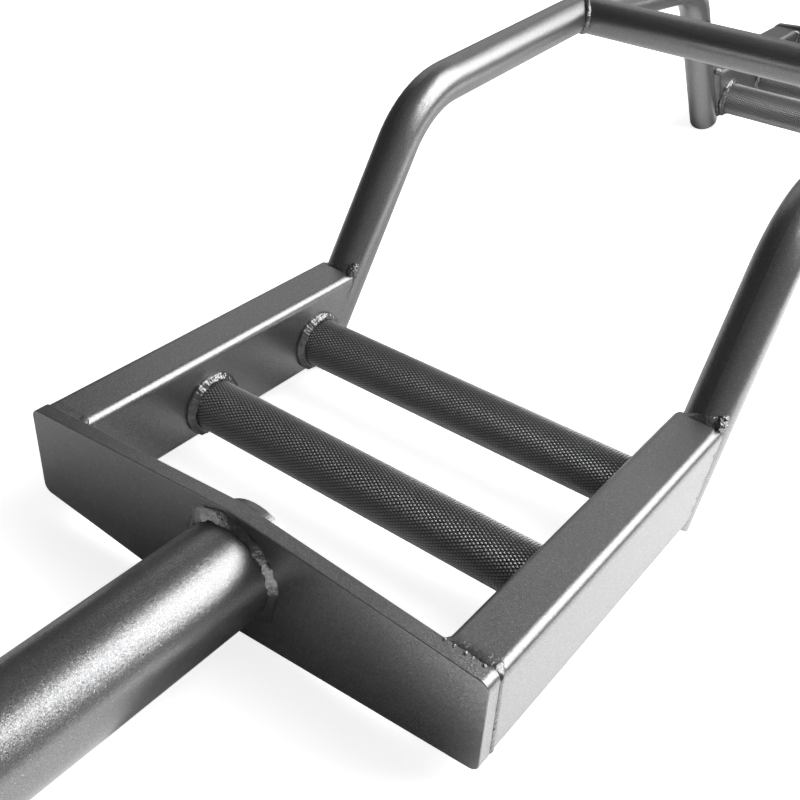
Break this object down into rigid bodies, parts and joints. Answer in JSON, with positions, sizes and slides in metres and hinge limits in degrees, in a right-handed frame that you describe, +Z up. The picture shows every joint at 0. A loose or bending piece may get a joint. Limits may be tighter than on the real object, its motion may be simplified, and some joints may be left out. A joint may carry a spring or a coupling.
{
  "type": "cambered multi-grip bar",
  "caption": "Welded steel bar with a raised arch in the middle, a frame with cross handles on each side of it, and shafts that end in loading sleeves.",
  "frame": {"origin": "On the floor that the bar stands on, under the middle of the bar", "axes": "X along the bar, +X to its right end; Y across it, -Y to the front; Z up"},
  "size_m": [2.1, 0.278, 0.1828],
  "materials": {
    "powder_coat": "dark silver metallic powder coat with a fine sparkle, satin gloss",
    "coated_knurl": "the same coat over a diamond knurl",
    "coated_weld": "the same coat over rippled weld beads",
    "cap_plastic": "black moulded plastic"
  },
  "bodies": {
    "root": {"left_end_plate": "powder_coat", "right_end_plate": "powder_coat", "left_front_rail": "powder_coat", "left_rear_rail": "powder_coat", "right_front_rail": "powder_coat", "right_rear_rail": "powder_coat", "left_outer_handle": "coated_knurl", "left_inner_handle": "coated_knurl", "right_inner_handle": "coated_knurl", "right_outer_handle": "coated_knurl", "front_arch_tube": "powder_coat", "rear_arch_tube": "powder_coat", "cross_tube": "powder_coat", "arch_foot_caps": "powder_coat", "left_shaft_tube": "powder_coat", "right_shaft_tube": "powder_coat", "left_collar": "powder_coat", "right_collar": "powder_coat", "left_end_cap": "cap_plastic", "right_end_cap": "cap_plastic", "left_shaft_welds": "coated_weld", "right_shaft_welds": "coated_weld", "left_collar_weld": "coated_weld", "right_collar_weld": "coated_weld", "left_rail_welds": "coated_weld", "right_rail_welds": "coated_weld", "left_handle_welds": "coated_weld", "right_handle_welds": "coated_weld", "left_foot_welds": "coated_weld", "right_foot_welds": "coated_weld", "cross_tube_welds": "coated_weld"}
  },
  "joints": []
}
